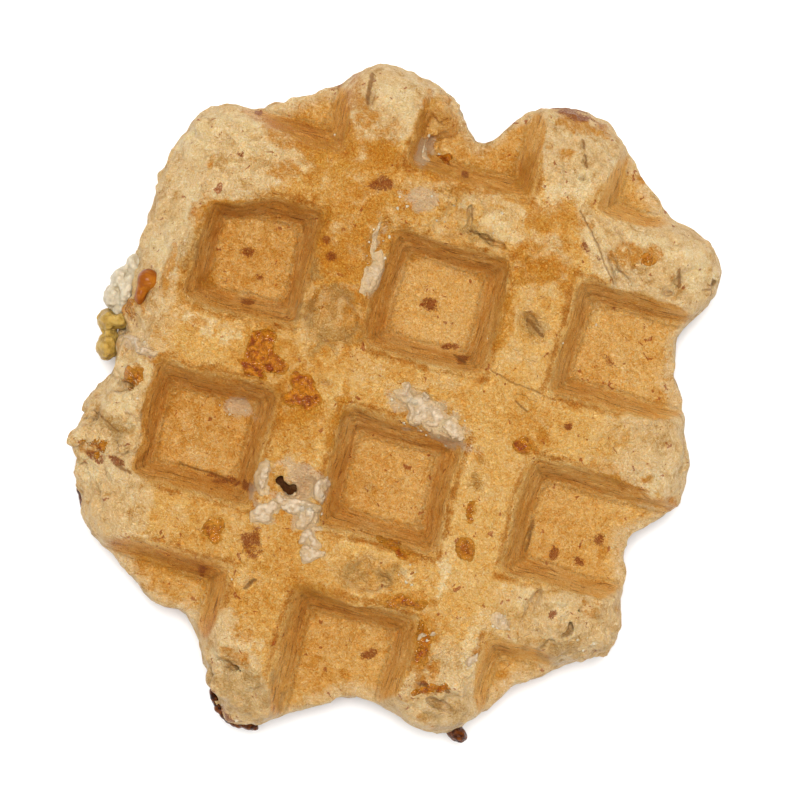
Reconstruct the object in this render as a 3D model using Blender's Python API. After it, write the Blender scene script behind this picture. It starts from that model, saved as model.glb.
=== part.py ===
"""A Liege waffle: one piece of baked dough, pressed between the studded plates of a waffle iron.

The dough is made first, as a thick disc whose ridges reach past it at their ends. The studs of both
plates are then cut out of it, which leaves the pockets, the ridges between them and a thin web in the
middle. Last, the edges are softened and the underside is trimmed flat where the waffle rests.

+X runs along the ridges called B and +Y along the ridges called A. The origin is on the table, under
the middle of the waffle's box. Driving sizes are in millimetres.
"""

from math import cos, pi, radians, sin, sqrt

import bmesh
import bpy
from mathutils import Matrix, Vector

MM = 0.001

# The iron's grid: how far apart its ridges are, and where one of each kind runs.
PITCH_X = 28.6
PITCH_Y = 27.3
RIDGE_A1_X = -11.3
RIDGE_B2_Y = 4.3

# A stud of the iron, which leaves one pocket: its flat end, the slope of its sides, its height.
STUD_X = 13.0
STUD_Y = 12.2
STUD_DRAFT = 3.2
POCKET_DEPTH = 10.5
WEB = 5.0
THICKNESS = 2 * POCKET_DEPTH + WEB
STUDS_X = (-0.5, 0.5, 1.5)  # grid places of the studs that meet the dough, counted in ridges from A1
STUDS_Y = (-1.5, -0.5, 0.5, 1.5)  # the same, counted from B2
OPEN_REACH = 20.0  # how far a stud is lengthened where the dough never closed its pocket
CUT_PAST = 3.0  # how far a stud stands out of the dough, for a clean cut

# The ends of each ridge: its grid place, its low end and its high end along its own axis, and the radius
# of the dough's round end at each.
RIDGES_A = {  # ridges along Y
    "A1": (0, -51.5, 51.0, 7.0, 9.0),
    "A2": (1, -45.0, 51.5, 8.0, 8.0),
}
RIDGES_B = {  # ridges along X
    "B1": (1, -40.5, 43.5, 8.0, 7.5),
    "B2": (0, -46.2, 46.6, 9.0, 8.0),
    "B3": (-1, -42.0, 42.0, 8.0, 7.0),
}
TORN_LUMP = (-3.5, 44.5, 4.5)  # dough squeezed out beside the high end of A1: its middle and radius

# The web's edge between those ends: direction from the middle in degrees, and reach. On the left, where
# the dough only began to fill the next ridge, this is the bank that closes the first pockets.
WEB_EDGE = (
    (22, 43.5),
    (43, 54.0),
    (50, 52.0),
    (62, 53.0),
    (86, 43.5),
    (97, 50.0),
    (115, 49.5),
    (124, 49.5),
    (140, 52.0),
    (155, 46.8),
    (163, 45.5),
    (172, 46.5),
    (181, 45.0),
    (187, 42.5),
    (194, 46.0),
    (206, 48.0),
    (220, 46.8),
    (232, 45.5),
    (241, 42.3),
    (276, 42.5),
    (304, 46.5),
    (314, 45.3),
    (322, 45.5),
    (348, 41.0),
    (355, 44.0),
)
EDGE_POINTS = 180

# The free dough round the edge: how far in its top starts to fall, and how square its section is.
RIM_RUN = 11.0
RIM_SQUARENESS = 2.4
RIM_STEPS = 10

# Softening: sizes of the remeshed faces, and rounds of smoothing.
BLANK_VOXEL = 1.2
BLANK_SMOOTHING = 6
CRUST_VOXEL = 0.8
CRUST_SMOOTHING = 7
FINAL_TRIANGLES = 9200
TRIM = 0.25  # cut off the underside, which makes the ridges' undersides truly flat

CRUST_COLOUR = (0.53, 0.27, 0.085, 1.0)  # linear RGB of a golden-brown crust


def clear_scene():
    for thing in list(bpy.data.objects):
        bpy.data.objects.remove(thing, do_unlink=True)


def grid_x(place):
    """X of the ridge A that is `place` ridges to the right of A1; halves give the pockets between."""
    return RIDGE_A1_X + place * PITCH_X


def grid_y(place):
    """Y of the ridge B that is `place` ridges above B2; halves give the pockets between."""
    return RIDGE_B2_Y + place * PITCH_Y


def add_object(name, bm):
    """A new object from a bmesh in millimetres."""
    mesh = bpy.data.meshes.new(name)
    bmesh.ops.scale(bm, vec=(MM, MM, MM), verts=bm.verts)
    bmesh.ops.recalc_face_normals(bm, faces=bm.faces)
    bm.to_mesh(mesh)
    bm.free()
    made = bpy.data.objects.new(name, mesh)
    bpy.context.scene.collection.objects.link(made)
    return made


def apply_modifier(thing, kind, **settings):
    """Adds a modifier, bakes its result into the object's mesh and takes it off again."""
    modifier = thing.modifiers.new(kind.title(), kind)
    for key, value in settings.items():
        setattr(modifier, key, value)
    evaluated = thing.evaluated_get(bpy.context.evaluated_depsgraph_get())
    result = bpy.data.meshes.new_from_object(evaluated)
    thing.modifiers.remove(modifier)
    thing.data = result


def upright_prism(bm, outline, bottom, top):
    """Extrudes a flat outline, a list of (x, y), from one height to the other."""
    rim = [bm.verts.new((x, y, bottom)) for x, y in outline]
    base = bm.faces.new(rim)
    raised = bmesh.ops.extrude_face_region(bm, geom=[base])
    lifted = [item for item in raised["geom"] if isinstance(item, bmesh.types.BMVert)]
    bmesh.ops.translate(bm, vec=(0, 0, top - bottom), verts=lifted)


def web_reach(angle):
    """How far the web goes in a direction, in degrees, by cosine blending between the stated reaches."""
    for (start, reach), (end, next_reach) in zip(WEB_EDGE, WEB_EDGE[1:] + WEB_EDGE[:1]):
        span = (end - start) % 360
        along = (angle - start) % 360
        if along < span:
            return reach + (next_reach - reach) * (1 - cos(pi * along / span)) / 2
    return WEB_EDGE[0][1]


def ridge_ends():
    """The round end of every ridge, and the torn lump, as discs: centre and radius."""
    for place, low, high, low_radius, high_radius in RIDGES_A.values():
        yield Vector((grid_x(place), low + low_radius)), low_radius
        yield Vector((grid_x(place), high - high_radius)), high_radius
    for place, low, high, low_radius, high_radius in RIDGES_B.values():
        yield Vector((low + low_radius, grid_y(place))), low_radius
        yield Vector((high - high_radius, grid_y(place))), high_radius
    lump_x, lump_y, lump_radius = TORN_LUMP
    yield Vector((lump_x, lump_y)), lump_radius


def dough_reach(angle):
    """How far the dough goes in a direction: the web's edge, or a ridge's round end where that is farther."""
    ray = Vector((cos(radians(angle)), sin(radians(angle))))
    reach = web_reach(angle)
    for centre, radius in ridge_ends():
        along = centre.dot(ray)
        off_ray = abs(centre.cross(ray))
        if along > 0 and off_ray < radius:
            reach = max(reach, along + sqrt(radius**2 - off_ray**2))
    return reach


def dough_blank():
    """The dough before the studs press into it: rings of one outline, drawn in towards the top and bottom."""
    reaches = [dough_reach(360 * step / EDGE_POINTS) for step in range(EDGE_POINTS)]
    bm = bmesh.new()
    rings = []
    for level in range(-RIM_STEPS, RIM_STEPS + 1):
        tilt = pi / 2 * level / RIM_STEPS
        rise = abs(sin(tilt)) ** (2 / RIM_SQUARENESS)
        inset = RIM_RUN * (1 - cos(tilt) ** (2 / RIM_SQUARENESS))
        height = THICKNESS / 2 * (1 + (rise if level > 0 else -rise))
        ring = []
        for step, reach in enumerate(reaches):
            turn = 2 * pi * step / EDGE_POINTS
            ring.append(bm.verts.new(((reach - inset) * cos(turn), (reach - inset) * sin(turn), height)))
        rings.append(ring)
    for lower, upper in zip(rings, rings[1:]):
        for i in range(EDGE_POINTS):
            j = (i + 1) % EDGE_POINTS
            bm.faces.new((lower[i], lower[j], upper[j], upper[i]))
    bm.faces.new(rings[0])
    bm.faces.new(rings[-1])
    blank = add_object("waffle", bm)
    apply_modifier(blank, "REMESH", mode="VOXEL", voxel_size=BLANK_VOXEL * MM)
    apply_modifier(blank, "SMOOTH", factor=0.5, iterations=BLANK_SMOOTHING)
    return blank


def stud_sides(place_x, place_y):
    """How far a stud's flat end reaches from its grid place: left, right, down, up."""
    left = right = STUD_X / 2
    down = up = STUD_Y / 2
    if place_x == STUDS_X[-1]:
        right += OPEN_REACH
    if place_y == STUDS_Y[-1]:
        up += OPEN_REACH
    if place_y == STUDS_Y[0]:
        down += OPEN_REACH
        if place_x == STUDS_X[0]:
            left += OPEN_REACH
    return left, right, down, up


def add_stud(bm, place_x, place_y, above):
    """One tapered stud of the upper plate, or of the lower plate if `above` is False."""
    cx, cy = grid_x(place_x), grid_y(place_y)
    left, right, down, up = stud_sides(place_x, place_y)
    if above:
        tip, root = THICKNESS - POCKET_DEPTH, THICKNESS + CUT_PAST
    else:
        tip, root = POCKET_DEPTH, -CUT_PAST
    spread = STUD_DRAFT * (POCKET_DEPTH + CUT_PAST) / POCKET_DEPTH
    rings = []
    for height, grow in ((tip, 0.0), (root, spread)):
        corners = ((-left - grow, -down - grow), (right + grow, -down - grow),
                   (right + grow, up + grow), (-left - grow, up + grow))
        rings.append([bm.verts.new((cx + x, cy + y, height)) for x, y in corners])
    bm.faces.new(rings[0])
    bm.faces.new(rings[1])
    for i in range(4):
        j = (i + 1) % 4
        bm.faces.new((rings[0][i], rings[0][j], rings[1][j], rings[1][i]))


def plate_studs(above):
    """The studs of one plate that meet the dough, as one cutter."""
    bm = bmesh.new()
    for place_x in STUDS_X:
        for place_y in STUDS_Y:
            add_stud(bm, place_x, place_y, above)
    cutter = add_object("upper studs" if above else "lower studs", bm)
    cutter.hide_render = True
    cutter.display_type = "WIRE"
    return cutter


def press(dough):
    """Cuts both plates' studs out of the dough."""
    for above in (True, False):
        cutter = plate_studs(above)
        apply_modifier(dough, "BOOLEAN", operation="DIFFERENCE", solver="EXACT", object=cutter)
        bpy.data.objects.remove(cutter, do_unlink=True)


def soften(dough):
    """Rounds the crust's edges and brings it down to few faces."""
    apply_modifier(dough, "REMESH", mode="VOXEL", voxel_size=CRUST_VOXEL * MM)
    apply_modifier(dough, "SMOOTH", factor=0.5, iterations=CRUST_SMOOTHING)
    dough.data.calc_loop_triangles()
    ratio = FINAL_TRIANGLES / len(dough.data.loop_triangles)
    apply_modifier(dough, "DECIMATE", ratio=ratio)


def rest_flat(dough):
    """Trims the underside to one level and stands the waffle on the table, its box centred on the origin."""
    low = min(vert.co.z for vert in dough.data.vertices) / MM
    half = 3 * PITCH_X
    bm = bmesh.new()
    upright_prism(bm, [(-half, -half), (half, -half), (half, half), (-half, half)], low - CUT_PAST, low + TRIM)
    table = add_object("table level", bm)
    table.hide_render = True
    table.display_type = "WIRE"
    apply_modifier(dough, "BOOLEAN", operation="DIFFERENCE", solver="EXACT", object=table)
    bpy.data.objects.remove(table, do_unlink=True)
    places = [vert.co for vert in dough.data.vertices]
    lows = Vector(min(place[i] for place in places) for i in range(3))
    highs = Vector(max(place[i] for place in places) for i in range(3))
    middle = (lows + highs) / 2
    dough.data.transform(Matrix.Translation((-middle.x, -middle.y, -lows.z)))


def crust_material():
    """Baked dough: golden brown, dry and dull."""
    material = bpy.data.materials.new("waffle crust")
    material.use_nodes = True
    shader = material.node_tree.nodes["Principled BSDF"]
    shader.inputs["Base Color"].default_value = CRUST_COLOUR
    shader.inputs["Roughness"].default_value = 0.6
    shader.inputs["Metallic"].default_value = 0.0
    return material


def main():
    clear_scene()
    waffle = dough_blank()
    press(waffle)
    soften(waffle)
    rest_flat(waffle)
    waffle.data.materials.clear()
    waffle.data.materials.append(crust_material())
    waffle.data.shade_smooth()


main()
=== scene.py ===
# %% [markdown]
# # A Liege waffle
# A ball of rich yeast dough with pearl sugar in it is pressed between two hot plates full of square
# studs. Where the dough meets the iron it turns golden brown and takes the iron's shape. Where it never
# reaches the iron, as at the ends of the ridges, it stays pale, round and rough. This notebook models
# both, and the sugar that melted on top. First it loads the plain solid, whose place and size it keeps.

# %% Load the frame
import math
from functools import partial

import bpy
import numpy as np
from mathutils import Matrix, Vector


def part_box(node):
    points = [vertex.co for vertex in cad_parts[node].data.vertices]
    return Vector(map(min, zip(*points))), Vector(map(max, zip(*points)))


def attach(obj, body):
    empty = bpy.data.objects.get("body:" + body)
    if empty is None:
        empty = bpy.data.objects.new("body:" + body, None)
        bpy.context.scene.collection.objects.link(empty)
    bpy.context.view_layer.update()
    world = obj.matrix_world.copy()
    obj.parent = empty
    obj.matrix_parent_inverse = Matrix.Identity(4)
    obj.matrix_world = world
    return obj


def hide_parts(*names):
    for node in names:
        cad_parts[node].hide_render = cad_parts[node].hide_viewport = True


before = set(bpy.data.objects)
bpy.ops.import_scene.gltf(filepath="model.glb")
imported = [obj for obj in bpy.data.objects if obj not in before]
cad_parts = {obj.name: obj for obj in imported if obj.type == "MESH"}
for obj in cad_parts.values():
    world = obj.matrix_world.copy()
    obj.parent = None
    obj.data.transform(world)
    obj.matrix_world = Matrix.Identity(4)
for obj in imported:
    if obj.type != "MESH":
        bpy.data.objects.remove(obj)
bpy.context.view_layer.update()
MM = 0.001
waffle_low, waffle_high = (Vector(corner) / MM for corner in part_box("waffle"))
THICKNESS = waffle_high.z
print("the solid, in mm:", [round(v, 1) for v in waffle_low], [round(v, 1) for v in waffle_high])

# %% [markdown]
# ## The iron's sizes
# Everything on the upper and lower face follows one grid: ridges A run along Y, ridges B along X, and a
# tapered stud stands in each square between them. All sizes are in millimetres, as on the solid.

# %% The grid and its studs
PITCH_X = 28.6
PITCH_Y = 27.3
RIDGE_A1_X = -11.3
RIDGE_B2_Y = 4.3
STUD_X = 13.0
STUD_Y = 12.2
STUD_DRAFT = 3.2
POCKET_DEPTH = 10.5
COLUMNS = [RIDGE_A1_X + place * PITCH_X for place in (-0.5, 0.5, 1.5)]
ROWS = [RIDGE_B2_Y + place * PITCH_Y for place in (-1.5, -0.5, 0.5, 1.5)]
RIDGES_X = [RIDGE_A1_X, RIDGE_A1_X + PITCH_X]
RIDGES_Y = [RIDGE_B2_Y - PITCH_Y, RIDGE_B2_Y, RIDGE_B2_Y + PITCH_Y]
print("pocket columns", [round(x, 1) for x in COLUMNS], "rows", [round(y, 1) for y in ROWS])

# %% [markdown]
# ## Noise and soft corners
# A baked waffle has no sharp corner and no even surface. Small helpers give that: noise, whose bumps
# have a size in millimetres, a maximum that rounds the corner where two surfaces meet, and soft
# ellipses, which say where something happens.

# %% Noise and smooth maximum
NOISE_GAIN = 1.7  # brings the noise to about -1 to 1


def noise(x, y, z, size, seed):
    """Smooth noise of about -1 to 1, with bumps `size` millimetres across."""
    rng = np.random.default_rng(seed)
    shuffle = rng.permutation(256)
    slopes = rng.normal(size=(256, 3))
    slopes = (slopes / np.linalg.norm(slopes, axis=1, keepdims=True)).astype(np.float32)
    cells, parts, eases = [], [], []
    for along in (x, y, z):
        scaled = np.asarray(along, np.float32) / size
        whole = np.floor(scaled)
        part = scaled - whole
        cells.append(whole.astype(np.int32))
        parts.append(part)
        eases.append(part**3 * (part * (part * 6 - 15) + 10))
    total = 0
    for corner in np.ndindex(2, 2, 2):
        spot = 0
        for cell, offset in zip(cells, corner):
            spot = shuffle[(spot + cell + offset) & 255]
        share = 1
        lean = 0
        for axis in range(3):
            share = share * (eases[axis] if corner[axis] else 1 - eases[axis])
            lean = lean + slopes[spot, axis] * (parts[axis] - corner[axis])
        total = total + share * lean
    return total * NOISE_GAIN


def smooth_max(a, b, blend):
    """The larger of two fields, with the corner between them rounded over about `blend` mm."""
    overlap = np.maximum(blend - np.abs(a - b), 0) / blend
    return np.maximum(a, b) + overlap**2 * blend / 4


def smooth_min(a, b, blend):
    return -smooth_max(-a, -b, blend)


def smooth_step(value, low, high):
    """0 below `low`, 1 above `high`, and a smooth rise between them."""
    share = np.clip((value - low) / (high - low), 0, 1)
    return share * share * (3 - 2 * share)


def soft_ellipse(x, y, centre_x, centre_y, half_length, half_width, turn=0, wobble=0):
    """1 in the middle of an ellipse, falling to 0 at its edge, which `wobble` moves in and out."""
    c, s = math.cos(math.radians(turn)), math.sin(math.radians(turn))
    along = ((x - centre_x) * c + (y - centre_y) * s) / half_length
    across = ((y - centre_y) * c - (x - centre_x) * s) / half_width
    return smooth_step(1 - (along**2 + across**2) + wobble, 0, 1)


def add_places(values, x, y, places, sign=1):
    """Adds to a field what each listed place gives it: an amount, spread over a soft ellipse."""
    for amount, *ellipse in places:
        values = values + sign * amount * soft_ellipse(x, y, *ellipse)
    return values


# %% [markdown]
# ## The free dough
# The outline is the one of the solid: a web whose edge lies at stated reaches, and a round end on each
# ridge. The field is negative inside the dough, zero on its surface, and grows with the distance.

# %% How far the dough reaches in each direction
WEB_EDGE = (  # direction in degrees, reach in mm
    (15, 44.4), (22, 43.3), (28, 44.4), (43, 54), (50, 51.6), (62, 53), (86, 42.7), (97, 50),
    (115, 49.5), (124, 49), (140, 51.2), (147, 49.8), (152, 47.2), (160, 44.8), (165, 42.8),
    (170, 42.2), (177, 41.2), (185, 40.9), (189, 42.6), (192, 45), (197, 46), (206, 47), (220, 45.8),
    (232, 45.2), (241, 42.2), (246, 44.4), (250, 46.8), (264, 48.6), (269, 45.6), (277, 42),
    (285, 43.2), (291, 47.4), (296, 48.4), (304, 46.4), (311, 44.4), (318, 46), (323, 44.6),
    (336, 44.6), (348, 39.8), (355, 43),
)
RIDGE_ENDS = (  # middle of each round end, and its radius
    (-9, -44.2, 6.2), (RIDGES_X[0], 41.8, 8.8), (16.9, -36.9, 6.9), (RIDGES_X[1], 43.5, 8),
    (13.3, 43.8, 7.2), (-32.5, RIDGES_Y[2], 7.6), (36.3, 31.3, 7.1), (-33.5, RIDGES_Y[1], 7.6),
    (38, 2.9, 7.6), (38.6, -0.2, 7), (-33.4, RIDGES_Y[0], 7.4), (35.4, -21.8, 6.7), (-4.3, 44.2, 4),
)
DIRECTIONS = 720
BLUR_SPAN = 12  # directions on either side over which the outline is smoothed
BLUR_WIDTH = 5.0


def reach_table():
    """The dough's reach in evenly spaced directions."""
    angles = np.arange(DIRECTIONS) * 360 / DIRECTIONS
    reaches = np.zeros(DIRECTIONS)
    for (start, reach), (end, next_reach) in zip(WEB_EDGE, WEB_EDGE[1:] + WEB_EDGE[:1]):
        along = (angles - start) % 360
        span = (end - start) % 360
        here = along < span
        blend = (1 - np.cos(np.pi * along[here] / span)) / 2
        reaches[here] = reach + (next_reach - reach) * blend
    turns = np.radians(angles)
    for x, y, radius in RIDGE_ENDS:
        along = x * np.cos(turns) + y * np.sin(turns)
        off_ray = np.abs(x * np.sin(turns) - y * np.cos(turns))
        hit = (along > 0) & (off_ray < radius)
        far = along + np.sqrt(np.maximum(radius**2 - off_ray**2, 0))
        reaches = np.where(hit, np.maximum(reaches, far), reaches)
    blur = np.exp(-(np.arange(-BLUR_SPAN, BLUR_SPAN + 1) / BLUR_WIDTH) ** 2)
    padded = np.concatenate([reaches[-BLUR_SPAN:], reaches, reaches[:BLUR_SPAN]])
    return np.convolve(padded, blur / blur.sum(), mode="valid")


REACHES = reach_table()


def reach_at(x, y):
    """How far the dough reaches in the direction of each place."""
    return np.interp(np.degrees(np.arctan2(y, x)) % 360, np.arange(DIRECTIONS + 1) * 360 / DIRECTIONS,
                     np.append(REACHES, REACHES[0]))


print("reach from", round(REACHES.min(), 1), "to", round(REACHES.max(), 1), "mm")

# %% [markdown]
# Where the dough filled the iron's grooves, its ridges are flat and brown. In thin places it fell
# short: the ridge sags there and stays pale. Each is a soft ellipse, measured on the real waffle.

# %% Thin places and the free dough's field
RIM_RUN = 11.0  # width of the rounded rim
RIM_SQUARENESS = 2.4  # 2 would make its section an ellipse
OVERFILL = 1.0  # how far the dough would rise past the iron where it filled the grooves
THIN_PLACES = (  # drop in mm, x, y, half length, half width, turn in degrees if it is turned
    (2.5, -36, 31, 16, 10),  # B1, left end
    (2.2, -12, 47, 10, 10),  # A1, upper end
    (2.3, 17.5, 46, 8.5, 9),  # A2, upper end
    (2.4, 35, 31.5, 13, 10),  # B1, right end
    (2.6, 3, 31.5, 11, 6),  # B1 between A1 and A2
    (2.2, -7.3, 23, 2.6, 8),  # strip on A1
    (3.6, -11.5, 11.8, 5.6, 5.8),  # the crater on A1
    (2.2, 17.8, 18.2, 4.6, 2.6, -35),  # gouge on A2
    (2.6, -45, 4, 9, 9),  # B2, left end
    (2.3, 6, 1.6, 8.5, 3.6, -14),  # B2 between A1 and A2
    (2.3, 39, 3.5, 11, 9),  # B2, right end
    (1.8, -11, -14, 5.5, 5),  # round the hole in A1
    (2.8, -39, -15, 11, 15),  # the bank on the left
    (2.8, 3.8, -23.2, 6, 3.8, 10),  # dent in B3
    (2.4, 33, -23, 14, 9),  # B3, right end
    (2.6, -12, -46, 8, 9),  # A1, lower end
    (2.6, 19, -38, 8, 9),  # A2, lower end
    (2.8, -41, 20, 8, 14),  # the bank beside the upper left pocket
    (1.4, 15.5, -8, 2.6, 5),  # translucent strip on A2
    (2.1, 25, 32.4, 8.5, 3.8, -48),  # folds where A2 meets B1
    (1.7, 16.6, 27, 5, 6.5),  # rumpled crust on A2
)


def dough_field(x, y, z):
    """The dough that no iron touches, still smooth."""
    run_in = np.maximum((np.hypot(x, y) - reach_at(x, y)) / RIM_RUN + 1, 0)
    fill = OVERFILL + 0.25 * noise(x, y, 0 * x, 11.0, 1)
    fill = add_places(fill, x, y, THIN_PLACES, -1)
    half = THICKNESS / 2
    under = OVERFILL + 1.3 * noise(x, y, 0 * x + 50, 17.0, 2)
    rise = np.where(z > half, (z - half) / (half + fill), (half - z) / (half + under))
    section = (run_in**RIM_SQUARENESS + rise**RIM_SQUARENESS) ** (1 / RIM_SQUARENESS)
    return ((RIM_RUN + half) / 2 * (section - 1)).astype(np.float32)


# %% [markdown]
# ## The iron
# The iron's field is positive inside the metal. Its plane gives the flat ridge tops, and the studs give
# the pockets. The grid wavers a little, because the waffle shrinks and bends as it cools.

# %% The field of the two plates
CREST_ROUND = 1.9  # how widely the corners at the top and foot of a wall are rounded
FOOT_ROUND = 1.5
WAVER = 0.5  # broad and small sideways errors of the grid
WRINKLE = 0.42
FULL_SIDE = ((1.6, -35, 18, 6, 15),)  # dough that fills the upper left pocket a little, on two sides
FULL_CORNER = ((2.7, -36, 26, 13, 6, 12),)
SLOPE = STUD_DRAFT / POCKET_DEPTH
SIDE_COSINE = 1 / math.hypot(1, SLOPE)


def nearest_stud(along, ridges, middles):
    """For each place, the middle of the stud that stands there."""
    return np.choose(np.searchsorted(ridges, along), middles)


def stud_sides(x, y, depth):
    """How far inside the two pairs of a stud's sides a place is. `depth` is measured from the plate."""
    level = 0 * x
    shift_x, shift_y = (
        WAVER * noise(x, y, level, 19.0, seed) + WRINKLE * noise(x, y, level, 6.5, seed + 2)
        for seed in (3, 4))
    x, y = x + shift_x, y + shift_y
    from_x = x - nearest_stud(x, RIDGES_X, COLUMNS)
    from_y = y - nearest_stud(y, RIDGES_Y, ROWS)
    open_left = (y < RIDGES_Y[0]) & (x < COLUMNS[0])
    open_right = x > COLUMNS[-1]
    off_x = np.where(open_left | open_right, 0, np.abs(from_x))
    off_y = np.where((y > ROWS[-1]) | (y < ROWS[0]), 0, np.abs(from_y))
    off_x = add_places(off_x, x, y, FULL_SIDE)
    off_y = add_places(off_y, x, y, FULL_CORNER)
    spread = STUD_DRAFT * (1 - depth / POCKET_DEPTH)
    return (STUD_X / 2 + spread - off_x) * SIDE_COSINE, (STUD_Y / 2 + spread - off_y) * SIDE_COSINE


def plate_field(x, y, depth):
    """Positive inside one plate."""
    side_x, side_y = stud_sides(x, y, depth)
    stud = smooth_min(smooth_min(side_x, side_y, FOOT_ROUND), POCKET_DEPTH - depth, FOOT_ROUND)
    return smooth_max(stud, -depth, CREST_ROUND).astype(np.float32)


def both_plates(x, y, z):
    return np.maximum(plate_field(x, y, THICKNESS - z), plate_field(x, y, z))


# %% [markdown]
# ## Roughness, lumps and hollows
# The free dough is bumpy at several sizes at once: broad swells, lumps a few millimetres across and a
# fine crumb. Lumpy places have creased lumps, as where two flaps of dough met.

# %% Roughness of the free dough
LEAST_LUMPY = 0.25
LUMPY_PLACES = (  # height of the lumps, x, y, half length, half width, turn
    (1.1, 3, 32, 10, 7), (1.6, -40, -14, 9, 13), (0.9, 17, 45, 7, 7), (1.2, -3, 43, 6, 8),
    (1.2, 34, -23, 12, 8), (1.3, -12, -46, 8, 8), (1.2, -42, 4, 8, 9), (0.7, 37, 30, 9, 8),
    (1.2, 4, -23.5, 7, 4.5), (0.7, 40, 2, 8, 8), (0.8, 20, -38, 7, 8), (0.6, -41, 22, 8, 14),
    (0.7, 16.6, 27, 6, 8),
)


def roughness(x, y, z):
    """How far the free dough stands out of its smooth form at each place."""
    rough = 0.50 * noise(x, y, z, 9.0, 11) + 0.36 * noise(x, y, z, 4.3, 12)
    rough += 0.30 * noise(x, y, z, 2.1, 13) + 0.20 * noise(x, y, z, 1.1, 14)
    lumpy = add_places(LEAST_LUMPY, x, y, LUMPY_PLACES)
    creased = np.abs(noise(x, y, z, 4.4, 15)) + 0.6 * np.abs(noise(x, y, z, 2.1, 16))
    return rough + lumpy * (1.3 * creased - 0.5)


# %% [markdown]
# Some lumps of dough and sugar are too large for noise, and so are the slits, the cracks and the hole
# that burst open. Each is an ellipsoid, joined to the dough or cut from it, with a ragged edge.

# %% Lumps and hollows
LUMPS = (  # x, y, z, half length, half width, half height, turn
    # torn lump beside A1
    (-4.3, 46.2, 13, 1.9, 2.4, 8.6, 20), (-2.2, 44.4, 11.5, 1.7, 2.4, 6.8, -20),
    (-3.8, 42.8, 12, 2, 1.6, 7), (-4.9, 39.6, 13, 1.3, 2, 5),
    # B1 between A1 and A2
    (-2.8, 31.6, 24, 4.2, 3.3, 1.9, 10), (7.2, 31, 24.4, 2.6, 2.3, 1.5),
    (4.4, 32.6, 24.2, 1.4, 1.7, 1.6, 30), (11, 31, 24.3, 2.4, 2.2, 1.2),
    # two folds where A2 meets B1
    (23.6, 31.8, 24.6, 6.2, 0.9, 1.5, -48), (26.4, 32.8, 24.4, 5.2, 1.3, 1.4, -48),
    # the bank on the left
    (-38, -8.8, 20.5, 3.6, 3.2, 3.6), (-41, -14.8, 20, 3.2, 2.6, 3.4, 20),
    (-37.2, -3.6, 20.8, 3, 2.4, 3.4), (-35.6, -13, 22.2, 2.6, 2, 2.2),
    # lower end of A1
    (-12.2, -38.8, 23.4, 3.8, 3.4, 1.9), (-11.4, -44.2, 20.4, 3.8, 2.8, 3.8),
    (-8.2, -46.2, 17, 3, 2.4, 4),
    # round the dent in B3
    (7.8, -20.6, 24.2, 2.6, 1.4, 1.5, -15), (8.4, -25.4, 24, 3.2, 1.7, 1.7, 10),
    (1.2, -27, 23.8, 3.4, 1.3, 1.5, -8),
    # B3, right end
    (24.6, -21.6, 23.8, 2.8, 2.6, 1.9), (31.4, -21.6, 23, 2.4, 3, 2.3),
    (36.8, -22, 20.6, 2.4, 3.2, 3.2),
    # lower end of A2
    (21.4, -39.4, 17.8, 2.4, 2.6, 3.4), (18.2, -36, 22.4, 3.4, 1.3, 2.2, -10),
    (41.6, 2, 20, 2.6, 3.8, 3),  # B2, right end
    # rumpled crust on A2
    (14.6, 30.4, 24.4, 2.8, 1.5, 1.3, 25), (18.6, 24.6, 24.4, 3.2, 1.3, 1.2, 70),
    (13.8, 24.2, 24.3, 2.6, 1.4, 1.2, -60),
    (-33, 33.6, 21.6, 5.6, 2.4, 2.4, -12),  # soft swell along the left end of B1
)
HOLLOWS = (  # x, y, z, half length, half width, half height, turn
    (-14.4, 46, 24.6, 2.9, 0.42, 3, 98),  # slit in the upper end of A1
    # creases in B1
    (4.6, 31, 25.6, 2.4, 0.4, 2, 100), (8, 28.9, 25, 2.8, 0.35, 1.6, -12),
    # cracks in the right end of B1
    (36.7, 30.6, 24.4, 1.7, 0.45, 2.2, 76), (35.4, 28.3, 24, 0.9, 0.5, 1.4, 20),
    (42.1, 30.7, 18.6, 1.6, 0.4, 2.4, 95),
    # pits in the upper end of A2
    (17.8, 46.4, 24.4, 0.9, 0.7, 1.8, 40), (18.8, 43.9, 24.6, 1.1, 0.6, 1.7, 70),
    (19.2, 41.2, 24.8, 0.7, 0.5, 1.4),
    (17.6, 18.6, 25, 2.1, 0.9, 1.8, -35),  # gouge in A2
    # the hole in A1
    (-12.7, -13.3, 20, 1.1, 1, 6.5, -30), (-11.7, -14.1, 20, 1.1, 0.8, 6, -35),
    (-10.8, -14.5, 20, 1.2, 1.5, 6.5), (-8.6, -13.4, 25.6, 1.8, 1.6, 1.6),
    # small pits in the crests
    (-9.9, 2.3, 25.4, 0.6, 0.4, 1), (-10.7, -5.5, 25.8, 0.6, 0.4, 0.8, 20),
    (2.2, 3.4, 25, 0.6, 0.4, 1.4, 60),
    (-34.2, 16.6, 20.6, 2.2, 1, 2.2, 80),  # dent in the bank
    (-35.4, -17.4, 24.2, 1.3, 0.35, 1.2, -20),  # slit in the bank
    (-13.2, -29.2, 25.8, 1.2, 0.4, 1, 60),  # slit in the lower part of A1
    (19, -39.6, 22.6, 2.4, 0.9, 1.8, -10),  # dent in the lower end of A2
    (25.2, -11.8, 16.2, 2.6, 0.4, 1.6, 85),  # slit at the foot of A2
    # creases between the lumps of the bank
    (-41, -11.4, 20.2, 2.4, 0.7, 1.8, -25), (-38.6, -5.9, 21.6, 2.6, 0.7, 1.6, 20),
    (-12, -41.7, 22.8, 4.4, 0.7, 1.4, -6),  # lower end of A1
    # B3, right end
    (28, -21.6, 24.6, 3, 0.6, 1.4, 78), (34.3, -22.4, 23, 3, 0.6, 1.4, 84),
)
TALLEST = THICKNESS + 0.20  # no lump stands higher
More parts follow.
